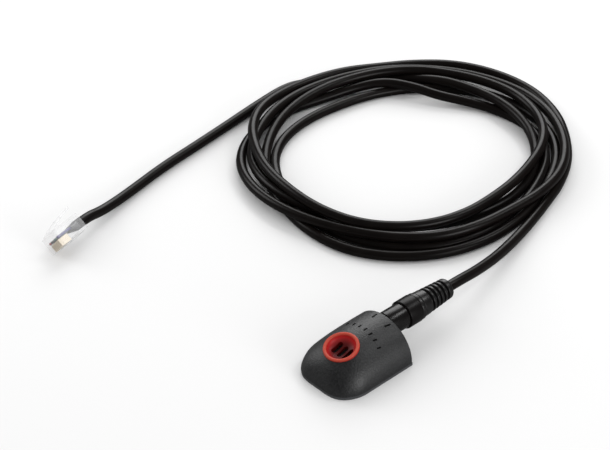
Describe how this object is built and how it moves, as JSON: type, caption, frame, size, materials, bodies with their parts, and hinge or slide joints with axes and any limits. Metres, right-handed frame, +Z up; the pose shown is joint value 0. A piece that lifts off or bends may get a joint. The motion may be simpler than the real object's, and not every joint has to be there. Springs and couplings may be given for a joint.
{
  "type": "rack temperature sensor",
  "caption": "Domed sensor pod with a red vent cup in its nose, on a coiled lead that ends in a clear modular plug.",
  "frame": {"origin": "on the surface the pod rests on, under the middle of the pod with its barrel and strain relief", "axes": "+Y out of the pod's back, along the lead as it leaves; -Y towards the nose with the vent cup; +Z up"},
  "size_m": [0.1552, 0.2062, 0.0141],
  "materials": {
    "housing": "fine-textured dark grey moulding",
    "base": "fine-textured dark grey moulding",
    "cup": "satin red moulding",
    "membrane": "white porous film",
    "board": "green laminate",
    "chip": "matte black package",
    "solder": "bright solder",
    "wire_blue": "satin blue insulation",
    "wire_green": "satin green insulation",
    "wire_black": "satin black insulation",
    "wire_red": "satin red insulation",
    "barrel": "glossy black",
    "collar": "satin black",
    "relief": "satin black flexible moulding",
    "jacket": "satin black jacket",
    "clear": "clear moulding",
    "contact": "gilt"
  },
  "bodies": {
    "root": {"housing_shell": "housing", "base_plate": "base", "vent_cup": "cup", "filter_disc": "membrane", "circuit_board": "board", "sensing_chip": "chip", "controller_chip": "chip", "small_chips": "chip", "solder_joints": "solder", "board_wire_blue": "wire_blue", "board_wire_green": "wire_green", "board_wire_black": "wire_black", "board_wire_red": "wire_red", "cable_barrel": "barrel", "barrel_collar": "collar", "strain_relief": "relief", "cable_to_coil": "jacket", "cable_coil": "jacket", "cable_to_plug": "jacket", "plug_body": "clear", "plug_blades": "contact", "jacket_end": "jacket", "plug_wire_blue": "wire_blue", "plug_wire_green": "wire_green", "plug_wire_black": "wire_black", "plug_wire_red": "wire_red"}
  },
  "joints": []
}
